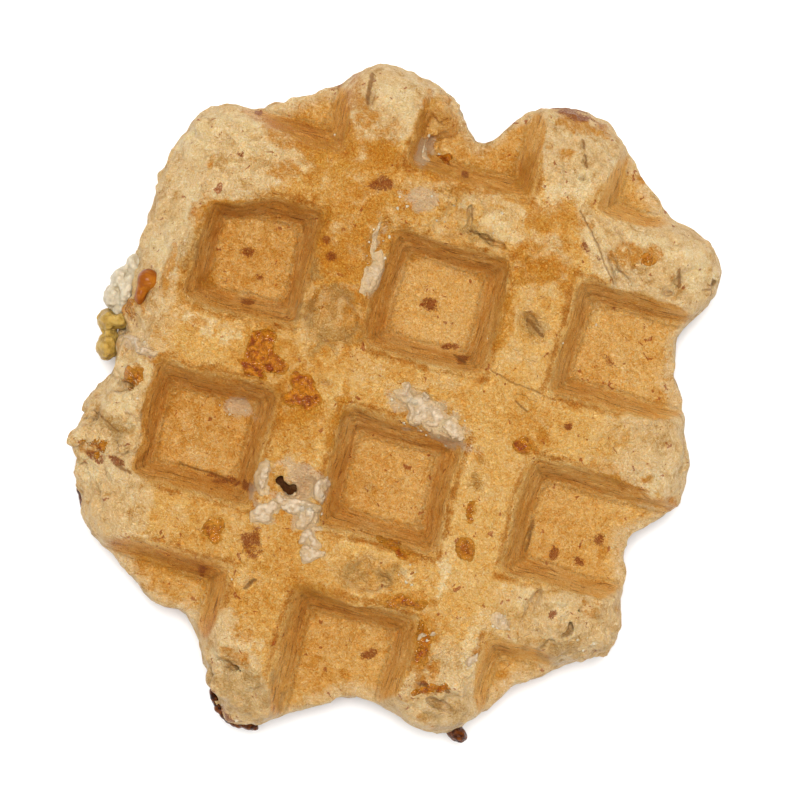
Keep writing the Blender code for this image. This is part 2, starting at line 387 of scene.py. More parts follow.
IRON_BLEND = 0.8  # how widely the corner is rounded where two surfaces meet, in mm
LUMP_BLEND = 1.3
HOLLOW_BLEND = 0.35
LUMP_ROUGHNESS = 0.8
NEAR = 2.5  # how far a lump or hollow acts past its own size
TINY = 1e-6  # keeps a division from a zero


def ellipsoid(x, y, z, middle_x, middle_y, middle_z, half_length, half_width, half_height, turn=0):
    """Roughly the distance from an ellipsoid's surface, negative inside it."""
    c, s = math.cos(math.radians(turn)), math.sin(math.radians(turn))
    along = ((x - middle_x) * c + (y - middle_y) * s) / half_length
    across = ((y - middle_y) * c - (x - middle_x) * s) / half_width
    up = (z - middle_z) / half_height
    away = np.sqrt(along**2 + across**2 + up**2) + TINY
    steep = np.sqrt((along / half_length) ** 2 + (across / half_width) ** 2 + (up / half_height) ** 2)
    return away * (away - 1) / (steep + TINY)


def around(shape, x, y):
    """Which places lie near enough to a lump or hollow to be changed by it."""
    return np.hypot(x - shape[0], y - shape[1]) < max(shape[3:5]) + NEAR


def whole_field(x, y, z, dough, plates):
    """The waffle's field at a list of places, before the hollows are cut, from its smooth parts."""
    rough = roughness(x, y, z)
    field = smooth_max(dough - rough, plates, IRON_BLEND)
    field = field + 0.16 * noise(x, y, z, 3.4, 21) + 0.12 * noise(x, y, z, 1.4, 22)
    lumpy = rough + 0.35 * noise(x, y, z, 2.2, 25)
    for lump in LUMPS:
        near = around(lump, x, y)
        shape = ellipsoid(x[near], y[near], z[near], *lump) - LUMP_ROUGHNESS * lumpy[near]
        field[near] = smooth_min(field[near], shape, LUMP_BLEND)
    return smooth_max(field, z - TALLEST, IRON_BLEND)


def full_field(x, y, z, dough, plates):
    """The finished waffle's field at a list of places."""
    field = whole_field(x, y, z, dough, plates)
    bent_x = x + 0.5 * noise(x, y, z, 1.6, 23)
    bent_y = y + 0.5 * noise(x, y, z, 1.6, 24)
    for hollow in HOLLOWS:
        near = around(hollow, x, y)
        shape = ellipsoid(bent_x[near], bent_y[near], z[near], *hollow)
        field[near] = smooth_max(field[near], -shape, HOLLOW_BLEND)
    return np.maximum(field, -z)


# %% [markdown]
# ## Sampling the field
# The field is sampled on a grid of points. The roughness is only worked out near the surface, because
# that is where it matters.

# %% Sample the waffle
STEP = 0.44
MARGIN = 2.4  # empty space round the solid
BAND = 2.6  # how far from the surface the roughness is worked out


def sampled_field(axes):
    """The waffle's field on the grid of points that three axes span."""
    along_x, along_y, along_z = np.meshgrid(*axes, indexing="ij", sparse=True)
    flat_x, flat_y = np.broadcast_arrays(along_x, along_y)
    dough = dough_field(flat_x, flat_y, along_z)
    plates = both_plates(flat_x, flat_y, along_z)
    samples = np.maximum(dough, plates)
    near = np.abs(samples) < BAND
    for lump in LUMPS:
        halves = (max(lump[3:5]), max(lump[3:5]), lump[5])
        box = [slice(*np.searchsorted(axis, (middle - half - 1, middle + half + 1)))
               for axis, middle, half in zip(axes, lump, halves)]
        near[tuple(box)] = True
    places = [np.broadcast_to(part, near.shape)[near] for part in (flat_x, flat_y, along_z)]
    samples[near] = full_field(*places, dough[near], plates[near])
    return samples


axes = [np.arange(low - MARGIN, high + MARGIN, STEP, dtype=np.float32)
        for low, high in zip(waffle_low, waffle_high)]
samples = sampled_field(axes)
print("sampled", samples.size, "points")

# %% [markdown]
# ## From field to mesh
# A surface net puts one vertex in each grid cell that the surface crosses, at the average of the
# crossings, and one quad round each grid edge that it crosses. The result is closed by its nature.

# %% Surface net


def surface_net(field, origin, step):
    """Vertices and quads of the surface round the part where the field is negative."""
    inside = field < 0
    corners = list(np.ndindex(2, 2, 2))
    spans = [tuple(slice(o, size - 1 + o) for o, size in zip(corner, field.shape)) for corner in corners]
    count = sum(inside[span].astype(np.int8) for span in spans)
    cells = np.argwhere((count > 0) & (count < 8))
    number = np.full(count.shape, -1, np.int32)
    number[tuple(cells.T)] = np.arange(len(cells))
    values = {corner: field[tuple((cells + corner).T)] for corner in corners}
    total = np.zeros((len(cells), 3), np.float32)
    hits = np.zeros(len(cells), np.float32)
    for corner in corners:
        for axis in range(3):
            if corner[axis]:
                continue
            other = tuple(o + (i == axis) for i, o in enumerate(corner))
            a, b = values[corner], values[other]
            crossed = (a < 0) != (b < 0)
            share = np.where(crossed, a / np.where(crossed, a - b, 1), 0)
            place = np.array(corner, np.float32) + share[:, None] * np.eye(3, dtype=np.float32)[axis]
            total += place * crossed[:, None]
            hits += crossed
    vertices = origin + step * (cells + total / hits[:, None])
    quads = []
    for axis in range(3):
        u, v = np.eye(3, dtype=int)[(axis + 1) % 3], np.eye(3, dtype=int)[(axis + 2) % 3]
        lower = np.take(inside, range(field.shape[axis] - 1), axis)
        upper = np.take(inside, range(1, field.shape[axis]), axis)
        for start_inside in (True, False):
            edges = np.argwhere((lower != upper) & (lower == start_inside))
            ring = [number[tuple((edges - offset).T)] for offset in (u + v, v, 0 * u, u)]
            quads.append(np.stack(ring if start_inside else ring[::-1], axis=1))
    return vertices, np.concatenate(quads)


def mesh_object(name, vertices, faces):
    """A new object, in metres, from vertices in millimetres."""
    mesh = bpy.data.meshes.new(name)
    mesh.from_pydata((np.asarray(vertices) * MM).tolist(), [], np.asarray(faces).tolist())
    mesh.validate()
    made = bpy.data.objects.new(name, mesh)
    bpy.context.scene.collection.objects.link(made)
    mesh.shade_smooth()
    return made


origin = np.array([axis[0] for axis in axes])
net_vertices, net_quads = surface_net(samples, origin, STEP)
net_quads = net_quads[(net_quads >= 0).all(axis=1)]
crust = mesh_object("waffle_crust", net_vertices, net_quads)
print("crust:", len(net_vertices), "vertices,", 2 * len(net_quads), "triangles")

# %% [markdown]
# The net has more triangles than the shape needs, above all underneath. The Decimate modifier takes
# them away where the surface is smooth. A vertex group makes it take more from the underside.

# %% Fewer triangles
MOST_TRIANGLES = 188000


def keep_result(made):
    """Makes what an object's modifiers give its own mesh, and removes them."""
    evaluated = made.evaluated_get(bpy.context.evaluated_depsgraph_get())
    old = made.data
    made.data = bpy.data.meshes.new_from_object(evaluated)
    made.modifiers.clear()
    bpy.data.meshes.remove(old)


def apply_modifier(made, kind, settings):
    modifier = made.modifiers.new(kind.title(), kind)
    for setting, value in settings.items():
        setattr(modifier, setting, value)
    keep_result(made)


def vertex_numbers(collection, name):
    """Three numbers for each vertex, such as its place or its normal."""
    values = np.empty(3 * len(collection), np.float32)
    collection.foreach_get(name, values)
    return values.reshape(-1, 3)


underside = crust.vertex_groups.new(name="underside")
underside.add(np.flatnonzero(net_vertices[:, 2] < THICKNESS / 2).tolist(), 1.0, "REPLACE")
apply_modifier(crust, "DECIMATE", {
    "ratio": MOST_TRIANGLES / (2 * len(net_quads)), "use_collapse_triangulate": True,
    "vertex_group": "underside", "vertex_group_factor": 0.6,
})
crust.vertex_groups.clear()
crust.data.shade_smooth()
flat = vertex_numbers(crust.data.vertices, "co")
flat[:, 2] = np.maximum(flat[:, 2], 0)
crust.data.vertices.foreach_set("co", flat.ravel())
print("crust after decimation:", len(crust.data.polygons), "triangles")

# %% [markdown]
# ## What each place of the crust looks like
# Most colours follow from how the waffle was baked, so each vertex gets numbers from the same fields:
# how hard the iron pressed it, whether it lies on a wall, a crest or at the foot of a wall. The foot of
# a wall and the corners of a pocket get painted shade, the deep places a little painted light, and the
# hollows painted shade. The material reads them as attributes and breaks up their edges with fine noise.

# %% How each vertex was baked, and where shade is painted
DEEP_PLACES = (  # how much darker (or lighter) the crust is, x, y, half length, half width, turn
    (0.5, -12, 20, 6, 14), (0.15, -11, 33, 9, 9), (0.35, -13, 38.5, 6, 5), (0.3, -23, 35, 12, 6, -5),
    (0.25, 17, 28, 8, 6), (0.25, -12, -1, 6, 8), (-0.3, -30, 4, 9, 6), (0.2, 21, 4, 6, 5),
    (0.05, -25, -9, 8, 8), (-0.3, 3, 18, 8, 8), (0.3, -16.4, -39.2, 2.6, 5, -4),
    (-0.35, 4, -19.2, 6.5, 1.8), (-0.15, -12.9, 27.6, 4, 4), (-0.3, -8, 2, 5, 4), (0.2, 3, 40, 10, 6),
    (-0.05, 17, 12, 6, 8), (-0.05, 16, -12, 6, 12), (-0.15, -30, -22, 14, 7), (0.5, -25, -29.6, 9, 2.4),
    (0.6, 36, -0.2, 6, 2.2, -8),
)
THE_HOLE = (-11.8, -14, 4.5, 3.5)  # where the crust burst open


def settled(values, gain=1.0):
    return np.clip(values * gain, 0, 1)


normals = vertex_numbers(crust.data.vertex_normals, "vector")
px, py, pz = (vertex_numbers(crust.data.vertices, "co") / MM).T
on_top = pz > THICKNESS / 2
depth = np.where(on_top, THICKNESS - pz, pz)
side_x, side_y = stud_sides(px, py, depth)
iron = plate_field(px, py, depth)
pressed = iron - (dough_field(px, py, pz) - roughness(px, py, pz))
browned = smooth_step(pressed, -0.15, 1.1)  # where the iron pressed the dough
in_pocket = smooth_step(depth, 1.0, 2.6) * browned
# the walls, and whether they face along X; then the foot and the corners of a pocket, where shade is
# painted, and the crests
steep = smooth_step(1 - np.abs(normals[:, 2]), 0.25, 0.65) * in_pocket
faces_x = smooth_step(np.abs(normals[:, 0]) - np.abs(normals[:, 1]), -0.2, 0.2)
# painted shade in the crease at the foot of each wall
foot = settled(1 - np.abs(np.minimum(side_x, side_y) - (POCKET_DEPTH - depth)) / 1.1)
foot = foot * smooth_step(depth, 6.5, 9.0) * browned
# painted shade down the corners of a pocket, as at the foot of its walls
corner = settled(1 - np.abs(side_x - side_y) / 1.5) * smooth_step(depth, 1.5, 4.0) * browned
corner = corner * (np.minimum(side_x, side_y) < 1.2)
crest = settled(1 - np.abs(np.minimum(side_x, side_y) + depth) / 1.6) * smooth_step(-depth, -4.5, -0.5)
tone = 0.42 - 0.0045 * px + 0.22 * noise(px, py, pz, 12.0, 31)
tone = add_places(tone, px, py, DEEP_PLACES)
# the rim is pale, the hollows and the hole where the crust burst open get painted shade, and the middle
# of the upper side is never quite pale
browned = browned * (1 - 0.9 * smooth_step(np.hypot(px, py) - reach_at(px, py), -3.4, -0.4))
uncut = whole_field(px, py, pz, dough_field(px, py, pz), iron)
hollow_shade = settled(-uncut, 0.25) * (0.5 + 0.5 * soft_ellipse(px, py, *THE_HOLE))
browned = np.maximum(browned, 0.74 * smooth_step(-np.hypot(px, py), -42.0, -30.0) * on_top)
print("browned share of the surface:", round(float(browned.mean()), 2))

# %% [markdown]
# ## Stains, sugar and burnt spots
# Pearl sugar melts on the iron, turns to caramel and soaks into the dough. The stains are listed by
# place, as a cook would point them out, and written as smooth masks from 1 in the middle to 0 outside.

# %% Stains on the crust
ORANGE = (  # x, y, half length, half width, turn: caramel that soaked in
    (-34.3, 22.2, 1.3, 2.2), (-30.7, 12.8, 1.6, 1, 40), (-41, 5.5, 2.6, 2.6), (-22, 35.6, 8, 2, -8),
    (-17.1, 45.3, 1.4, 4), (-12.6, 39.5, 3.6, 4.4), (-10.1, 40, 1.6, 5), (-5.9, 44, 0.9, 6),
    (1, 36, 8, 1.2, -4), (-22.5, 31.5, 4, 1.6, 10), (17.5, 49, 3.4, 1.4), (15.5, 43.5, 2, 1.2),
    (17, 33.5, 4, 4), (16.5, 27, 5, 2.4), (11, 40, 1.6, 4, 10), (28.5, 31.7, 2.6, 1.8, 20),
    (32, 32.6, 1.8, 1.3), (13.4, 17, 1.4, 3.4), (12.6, 20, 1.2, 5), (15.7, 28.7, 2.4, 1.8),
    (19.4, 8, 1.6, 1.4, 30), (-30, 6.2, 1.5, 0.8), (-14.5, 22, 2.2, 6.5, 15), (-8.3, 12, 1.4, 5, 10),
    (-12.5, -1.5, 3.4, 3), (-20, 4, 4.4, 3.4), (-12.5, -3.4, 3.2, 1.2), (-40.8, -15.4, 1.6, 1.3),
    (-37.4, -4, 1.3, 2), (-42.4, -1, 1.2, 1.6), (-20.3, -23.6, 1.3, 2.4, 10), (7.2, -19, 3.4, 1, -14),
    (9.6, -26, 3.6, 1.3, 10), (-12.4, -36.8, 1.8, 1.5), (-12.3, -40.4, 2, 1.3), (-26, -32.6, 1, 0.7),
    (4, -39.3, 1.3, 0.6, -40), (14, -31, 1.8, 4.4, 12), (15.3, -35, 1.6, 1.8),
    (17, -37.6, 2.6, 0.8, 12), (17.6, -42.6, 1.8, 1), (15.2, -9.6, 1.5, 1.3), (16, -16, 1.4, 1.9),
    (15, -5, 0.8, 3, 5), (36.3, -19.7, 1.5, 1.3), (23.5, 3.2, 1.2, 1.9), (21, 0.8, 1.8, 1.5, 30),
    (39.7, 0.8, 0.9, 0.6, 30), (35.9, -0.6, 1.2, 0.5, -10), (44, -2, 1.2, 0.9), (26.4, -33.2, 0.9, 0.7),
    (36.5, -11.6, 0.6, 0.9), (-5.5, -27.5, 6, 1, -4), (-9.6, -11, 1, 5), (-6.8, -1, 1, 6),
    (-42.5, -24, 1, 2, 30), (28.5, 44, 0.9, 0.7), (-34.6, 29.9, 0.5, 1.4), (-30.4, 24.6, 3, 0.5, 14),
    (-36.6, 13, 0.6, 3.6),
)
SUGARY = (  # greyish white melted sugar
    (-7.8, 23.8, 0.6, 3.4, -8), (-7.3, 19.6, 1.2, 3.2), (6.2, 1.2, 6.4, 2.4, -16), (-3.4, 31.8, 2.6, 2),
    (-10.8, -13.4, 4.4, 3.4), (-13.8, -15.8, 2.4, 3.6), (-12.4, -10.4, 2.6, 1.4), (-7.6, -18.6, 1.8, 3),
    (-22.4, -4.8, 3.2, 1.4, -8), (-38.6, 0.6, 3, 0.8, -16), (-4.4, 39.4, 1.1, 2.2),
    (24.8, -25, 1.6, 0.9),
)
GLASSY = (  # dull olive brown, where a pearl melted under a thin skin
    (-11.9, 11.6, 4.4, 4.4), (3.9, -23.2, 4.4, 2, 10), (15.2, -5.4, 1.2, 2.4), (-34.2, 16.4, 1.5, 2.8),
    (-15.8, 17.6, 0.7, 2.4), (0, -11.3, 1, 1), (17.4, 18.6, 2.4, 1.2, -35), (-11, -45, 6, 4),
    (20, -40, 4, 3.4), (34, -27, 5, 2.6, -10), (-39, -12, 3.6, 1.8, -20), (5, 29.4, 4, 1, -8),
)
BURNT = (  # dark red-brown
    (15.5, 50.6, 3.6, 0.9, -10), (-19.2, 46.6, 1.6, 0.7, 40), (-44.4, -22, 1.2, 4, 12),
    (-11, -50.6, 3.6, 1.4, -20), (-9.7, 32.8, 1.5, 1.2), (-13.6, 20.5, 0.7, 0.6), (-15, 22.7, 0.5, 0.5),
    (-13.1, 24.9, 0.5, 0.4), (-24.5, 11.6, 1, 1, 60), (-26.3, 18.4, 0.9, 0.6), (-27.8, 13.5, 0.7, 0.7),
    (-23.8, 14.9, 0.6, 0.5), (-30.6, 31.8, 0.5, 0.4), (1.9, 17.4, 1.4, 0.8, 10), (6.7, 12.1, 1.1, 0.5),
    (8.8, 10.8, 0.8, 0.6), (29.8, 16.6, 1.2, 0.8, -20), (-14.2, -23.2, 1.3, 1.9, -25),
    (-20.5, -29.4, 0.6, 0.5), (6.5, -35.1, 1.1, 0.6, 30), (-1.7, -39.4, 1.3, 0.4, -10),
    (35, -9.9, 0.9, 0.8), (29.5, -13.5, 0.5, 0.9), (33.4, -13.7, 0.7, 0.9, 30), (31.2, -22.1, 0.6, 0.9),
    (26.3, 5.3, 0.5, 0.5), (2.2, 37.8, 0.4, 0.5), (20.4, 0.9, 1, 1.3, 30), (-19.5, -15.5, 3.6, 0.6),
    (15.8, -37.2, 0.8, 0.5), (-40, -17, 1.2, 0.5, -20), (17.9, 22.6, 0.7, 0.5), (-29.8, 38.6, 0.4, 0.3),
    (22.2, 31.3, 0.9, 0.3, -48), (24.4, 30.4, 0.6, 0.25, -40), (-36.6, -16.9, 1.4, 0.4, -20),
    (14.2, -31.4, 0.6, 1.5, 10),
)
CREAMY = (  # cream-coloured lumps that hardly baked
    (22.9, 32.6, 5.6, 0.6, -48), (26, 31.2, 5.2, 0.6, -48), (30, 34.6, 4.6, 0.9, -16),
    (7.8, 31.6, 2.2, 1.6), (3.6, 33, 1.2, 1.4), (10.8, 30.2, 1.8, 0.9, 10), (-38.2, -8.4, 3, 2.4),
    (-41, -15, 2.4, 2.6), (-37, -3.2, 2.4, 1.8), (-38, -19, 3, 2), (-12.6, -37.6, 3.2, 1.2),
    (-12.4, -41, 3.6, 1), (-37, 33, 3, 3.4), (-30, 36.6, 4, 1.4, -10), (-38.4, 15.6, 1.6, 4.6),
    (-35.6, 22.8, 1.6, 2.6, 20), (-29, 33, 5, 1.6, -8), (15.4, 38, 2.2, 3.6), (19.4, 40, 1, 4),
    (25.4, -21.4, 2.2, 1.8), (31.6, -20.8, 1.6, 2), (-10, 45, 3.4, 3.6), (37.8, 32.4, 4, 2.4),
    (21, -30.6, 1.2, 4.2, 8), (41, -1.6, 1.4, 3), (14, -20, 1, 3), (-27, 5.6, 6, 1.4, -6),
    (9, -22.4, 1.2, 1), (36, 33.4, 3, 2, -10),
)
SPREAD = 1.35  # how much wider a stain's mask is than its ellipse, as a factor and in mm
BURNT_SPREAD = 1.5
STAIN_EDGE = 0.2
DEEPEST = 12.0


def stain_mask(stains, spread):
    """The largest of many ellipses, each with an unsteady edge."""
    wobble = 0.7 * noise(px, py, pz, 3.8, 41) + 0.6 * noise(px, py, pz, 1.7, 42)
    mask = 0 * px
    for x, y, half_length, half_width, *turn in stains:
        wide = (half_length * spread + STAIN_EDGE, half_width * spread + STAIN_EDGE)
        mask = np.maximum(mask, soft_ellipse(px, py, x, y, *wide, *turn, wobble=wobble))
    return mask * on_top


def store(made, name, kind, values):
    """Keeps one, three or four numbers on each vertex, as an attribute that a material can read."""
    field = {"FLOAT": "value", "FLOAT_VECTOR": "vector", "FLOAT_COLOR": "color"}[kind]
    attribute = made.data.attributes.new(name, kind, "POINT")
    attribute.data.foreach_set(field, np.asarray(values, np.float32).ravel())


orange, sugary, glassy, creamy = (
    stain_mask(stains, SPREAD) for stains in (ORANGE, SUGARY, GLASSY, CREAMY))
burnt = stain_mask(BURNT, BURNT_SPREAD)
# the last number of the first attribute is painted shade at the feet of the walls and in the pocket
# corners; the last number of "walls" is the depth, from which deep places are painted a little lighter
for name, channels in (
    ("baking", (browned, tone, crest * browned, np.maximum(foot, corner))),
    ("walls", (steep * (1 - faces_x), steep * faces_x, creamy, depth / DEEPEST)),
    ("stains", (orange, sugary, burnt, glassy)),
):
    store(crust, name, "FLOAT_COLOR", np.clip(np.stack(channels, axis=1), 0, 1))
# how deep the hollows cut into the dough, which the material paints as shade
store(crust, "hollow_shade", "FLOAT", hollow_shade)
print(len(ORANGE), "orange,", len(SUGARY), "sugary and", len(BURNT), "burnt stains")

# %% [markdown]
# ## Cracks
# A crack is too narrow for the mesh, so the material draws it: a dark line of painted shade and a dent
# in the bump. Each vertex only keeps how far it lies beside the nearest crack, and how far past its end.
# Both change evenly over a face, so the material can draw a line much finer than the faces.

# %% Cracks in the crust
CRACKS = (  # from x, y, to x, y, half width
    (-15, 48.4, -14.3, 43.8, 0.3), (20, 36.4, 27.8, 27.4, 0.1), (36.4, 31.8, 37, 29.4, 0.26),
    (41.9, 31.9, 42.3, 29.6, 0.13), (40.6, 30, 42, 30.4, 0.1), (5, 29.6, 8.8, 28.7, 0.14),
    (13.4, 10.3, 17, 9.2, 0.09), (17, 9.2, 21.2, 9.1, 0.08), (18, 6.9, 20, 5.9, 0.16),
    (-36.7, -17.2, -34.4, -17.9, 0.22), (-13.8, -29.9, -12.6, -28.4, 0.26),
    (15, -37.4, 19.4, -37, 0.22), (25.3, -9.6, 25.3, -14.4, 0.2), (1.9, 4.2, 2.2, 2.8, 0.18),
    (-28, -14.6, -20, -15.4, 0.12), (17.9, 46.8, 18.3, 45.6, 0.22), (18.6, 44.6, 19.2, 42.9, 0.18),
    (7.6, 11.3, 9.4, 10.4, 0.2), (-41.4, -10.6, -37.6, -12.4, 0.1), (16.6, 18.9, 19.4, 17.2, 0.26),
)
NO_CRACK = (9.0, 9.0, 0.0)  # far beside a crack and far past its end


def nearest_crack(x, y):
    """Distance beside the nearest crack, distance past its end, and its half width."""
    nearest = np.full(x.shape, np.inf)
    found = np.zeros((len(x), 3))
    for start_x, start_y, end_x, end_y, half_width in CRACKS:
        length = math.hypot(end_x - start_x, end_y - start_y)
        way_x, way_y = (end_x - start_x) / length, (end_y - start_y) / length
        along = (x - start_x) * way_x + (y - start_y) * way_y
        beside = (y - start_y) * way_x - (x - start_x) * way_y
        past = np.abs(along - length / 2) - length / 2
        away = np.hypot(beside, np.maximum(past, 0))
        closer = away < nearest
        nearest = np.where(closer, away, nearest)
        found[closer] = np.stack([beside, past, 0 * beside + half_width], axis=1)[closer]
    return found


store(crust, "cracks", "FLOAT_VECTOR", np.where(on_top[:, None], nearest_crack(px, py), NO_CRACK))
print(len(CRACKS), "cracks")

# %% [markdown]
# ## The crust's material
# One material covers the whole crust. It starts from pale dough, lays the golden crust over it where the
# iron pressed, and then adds the walls' streaks, painted shade at the feet of the walls, the specks and
# the stains. It paints the deep places a little lighter and paints shade into the hollows, the hole and
# the cracks. Every pattern is measured in millimetres in the object's own space.

# %% Material helpers


def colour(code):
    """A screen colour such as "d9a066" as the linear numbers that a shader wants."""
    parts = [int(code[i:i + 2], 16) / 255 for i in (0, 2, 4)]
    return [p / 12.92 if p <= 0.04045 else ((p + 0.055) / 1.055) ** 2.4 for p in parts] + [1.0]


def add_node(tree, kind, sockets=None, **settings):
    """Adds a node, sets its options, and gives its sockets a value or a link.

    A link comes from an output, or from a node, which stands for its first output. A kind without a
    family is a shader node.
    """
    node = tree.nodes.new(kind if "Node" in kind else "ShaderNode" + kind)
    for setting, value in settings.items():
        setattr(node, setting, value)
    for key, value in (sockets or {}).items():
        if isinstance(value, bpy.types.Node):
            value = value.outputs[0]
        if isinstance(value, bpy.types.NodeSocket):
            tree.links.new(value, node.inputs[key])
        else:
            node.inputs[key].default_value = value
    return node


def new_material(name):
    """An empty material, what adds nodes to it, and the object's coordinates in millimetres."""
    material = bpy.data.materials.new(name)
    material.use_nodes = True
    tree = material.node_tree
    tree.nodes.clear()
    place = add_node(tree, "TexCoord").outputs["Object"]
    place = add_node(tree, "VectorMath", {0: place, 3: 1 / MM}, operation="SCALE")
    return material, partial(add_node, tree), place


# %% Crust material
# the colours of the feet, the hollows, the hole and the cracks are painted shade
COATS = {
    "pale dough": "e4c18b", "dough shadow": "ca9e5f", "cream": "f0d6a4", "pore": "9c743e",
    "butter": "e8be76", "gold": "dfaa5d", "deep gold": "cf923d",
    "crest": "bc7c2e", "wall light": "f0b865", "wall": "e5a248", "deep wall": "be7626",
    "streak": "824a12", "foot": "9a6624", "speck": "a8702c", "fleck": "a04e20", "orange": "ca8a30",
    "sugar": "d2b48e", "burnt": "8c4416", "hollow": "b07a3e", "hole": "421a04",
    "glassy": "bc955a", "crack": "8a5a28",
}
PATTERNS = {  # bumps per millimetre, detail, roughness, distortion
    "swells": (0.16, 4.0, 0.60, 0.0), "patches": (0.40, 5.0, 0.62, 0.6), "crumb": (0.95, 4.0, 0.65, 0.8),
    "fibres": (1.9, 3.0, 0.65, 2.2), "grain": (4.2, 2.0, 0.60, 0.6), "flecks": (0.75, 2.0, 0.55, 0.6),
}
NOISE_RANGE = {1: 0.28, 2: 0.72}  # Blender's noise seldom leaves it


def crust_material():
    material, add, place = new_material("baked waffle crust")
    baking, walls, stains, cracks, hollow_shade = (
        add("Attribute", attribute_name=name).outputs
        for name in ("baking", "walls", "stains", "cracks", "hollow_shade"))
    baked, tone, crest = add("SeparateColor", {0: baking["Color"]}).outputs
    wall_b, wall_a, creamy = add("SeparateColor", {0: walls["Color"]}).outputs
    orange, sugary, burnt = add("SeparateColor", {0: stains["Color"]}).outputs
    foot, glassy, deep = baking["Alpha"], stains["Alpha"], walls["Alpha"]

    patterns = []
    for scale, detail, roughness, distortion in PATTERNS.values():
        pattern = add("TexNoise", {
            "Vector": place, "Scale": scale, "Detail": detail, "Roughness": roughness,
            "Distortion": distortion})
        pattern = add("MapRange", {0: pattern, **NOISE_RANGE})
        patterns.append(pattern)
    swells, patches, crumb, fibres, grain, flecks = patterns

    def total(start, *shares):
        """A number plus a share of each pattern."""
        for pattern, share in shares:
            start = add("Math", {0: pattern, 1: share, 2: start}, operation="MULTIPLY_ADD")
        return start

    def broken(mask, pattern, push, low, high):
        """A mask that starts at `low` and is full at `high`, with its edge broken up by a pattern."""
        edge = {0: total(mask, (pattern, push)), 1: low + push / 2, 2: high + push / 2}
        return add("MapRange", edge, interpolation_type="SMOOTHSTEP")

    def coat(under, over, mask, share=1.0):
        """Lays a colour over another one through a mask."""
        over = colour(COATS[over]) if isinstance(over, str) else over
        mask = add("Math", {0: mask, 1: share}, operation="MULTIPLY")
        return add("Mix", {0: mask, 6: under, 7: over}, data_type="RGBA").outputs[2]

    pale = coat(colour(COATS["pale dough"]), "dough shadow", broken(0.0, patches, 1.0, -0.1, 0.42))
    pale = coat(pale, "cream", broken(0.0, crumb, -1.0, 0.02, 0.4), 0.6)
    pale = coat(pale, "pore", broken(0.0, fibres, 1.0, 0.26, 0.5), 0.65)
    gold = coat(colour(COATS["gold"]), "deep gold", broken(tone, patches, 1.1, 0.15, 0.95))
    gold = coat(gold, "butter", broken(tone, crumb, -1.0, 0.75, 0.0), 0.75)
    skin = coat(pale, gold, broken(baked, patches, 0.7, 0.1, 0.95))
    skin = coat(skin, "cream", broken(creamy, crumb, 1.0, 0.35, 1.0), 0.7)
    skin = coat(skin, "crest", broken(crest, patches, 1.2, 0.35, 1.2), 0.9)

    wall_coat = coat(colour(COATS["wall light"]), "wall", broken(tone, patches, 0.8, 0.0, 0.6))
    wall_coat = coat(wall_coat, "deep wall", broken(tone, patches, 0.6, 0.5, 1.0), 0.7)
    for wall, stretch in ((wall_b, (0.22, 2.2, 1.7)), (wall_a, (2.2, 0.22, 1.7))):
        drawn = add("VectorMath", {0: place, 1: stretch}, operation="MULTIPLY")
        lines = add("TexNoise", {
            "Vector": drawn, "Scale": 1.0, "Detail": 4.0, "Roughness": 0.7, "Distortion": 0.5})
        lines = add("MapRange", {0: lines, 1: 0.54, 2: 0.66})
        skin = coat(skin, wall_coat, wall, 0.85)
        streaks = add("Math", {0: lines, 1: wall}, operation="MULTIPLY")
        skin = coat(skin, "streak", streaks, 0.75)
    # painted shade in the crease at the foot of each wall and down the pocket corners
    skin = coat(skin, "foot", broken(foot, fibres, 1.2, 0.45, 1.25), 0.6)
    skin = coat(skin, "speck", broken(0.0, fibres, -1.0, 0.30, 0.5), 0.6)
    skin = coat(skin, "fleck", broken(0.0, flecks, 1.0, 0.41, 0.46), 0.7)
    skin = coat(skin, "orange", broken(orange, crumb, 0.8, 0.35, 1.2), 0.85)
    skin = coat(skin, "glassy", broken(glassy, patches, 0.8, 0.35, 1.2), 0.7)
    skin = coat(skin, "burnt", broken(burnt, fibres, 1.2, 0.58, 1.0), 0.9)
    # deeper places, such as the pocket floors, come out a little lighter: painted light that lifts the
    # shade in the pockets
    contrast = total(1.90, (fibres, -0.80), (grain, -0.50), (swells, -0.25), (deep, -0.04))
    skin = add("Gamma", {0: skin, 1: contrast})

    skin = coat(skin, "sugar", broken(sugary, fibres, 0.8, 0.35, 1.05), 0.75)
    # painted shade inside the hollows, and painted shadow, almost black, deep in the hole
    for name, low, high in (("hollow", 0.05, 0.6), ("hole", 0.3, 0.55)):
        sunk_shade = add("MapRange", {0: hollow_shade["Fac"], 1: low, 2: high})
        skin = coat(skin, name, sunk_shade, 0.9)

    beside, past, half_width = add("SeparateXYZ", {0: cracks["Vector"]}).outputs
    swerve = total(-0.4, (beside, 1.0), (swells, 0.8), (fibres, 0.06))
    swerve = add("Math", {0: swerve}, operation="ABSOLUTE")
    past = add("Math", {0: past, 1: 0.0}, operation="MAXIMUM")
    width = total(0.4, (crumb, 1.0))
    width = add("Math", {0: half_width, 1: width}, operation="MULTIPLY")
    away = total(swerve, (past, 1.0), (width, -1.0))
    crack = add("MapRange", {0: away, 1: -0.08, 2: 0.16, 3: 1.0, 4: 0.0})
    # the crack's dark line is painted shade in a slit too narrow for the mesh
    skin = coat(skin, "crack", crack, 0.75)

